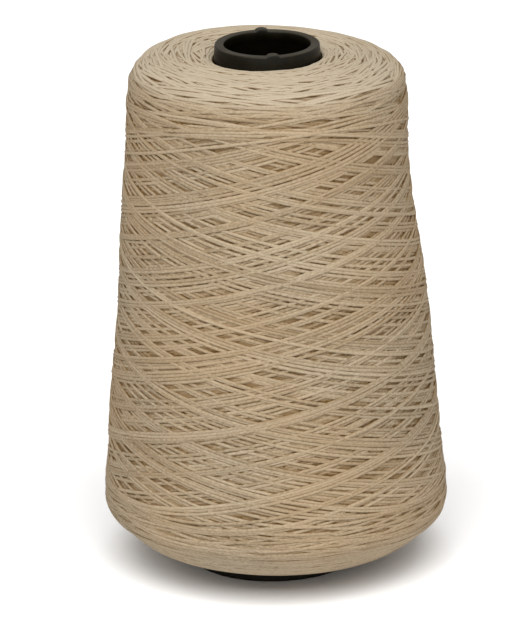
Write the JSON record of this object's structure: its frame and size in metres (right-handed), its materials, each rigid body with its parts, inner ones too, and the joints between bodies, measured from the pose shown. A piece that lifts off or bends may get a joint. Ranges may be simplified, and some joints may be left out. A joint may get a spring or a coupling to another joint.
{
  "type": "spool of binding thread",
  "caption": "Cone of natural cotton binding thread, cross-wound on a hollow tapered black plastic core whose nose and foot stand proud of the winding.",
  "frame": {"origin": "on the core's axis, on the plane that the core's foot stands on", "axes": "+Z along the core's axis, from the foot to the nose; +X to the right and +Y away from a viewer who faces the front"},
  "size_m": [0.1091, 0.1091, 0.1708],
  "materials": {
    "core_plastic": "moulded, faintly glossy black with an olive tint",
    "thread": "plied unbleached cotton, matt and slightly hairy"
  },
  "bodies": {
    "root": {"core": "core_plastic", "wound_thread": "thread"}
  },
  "joints": []
}
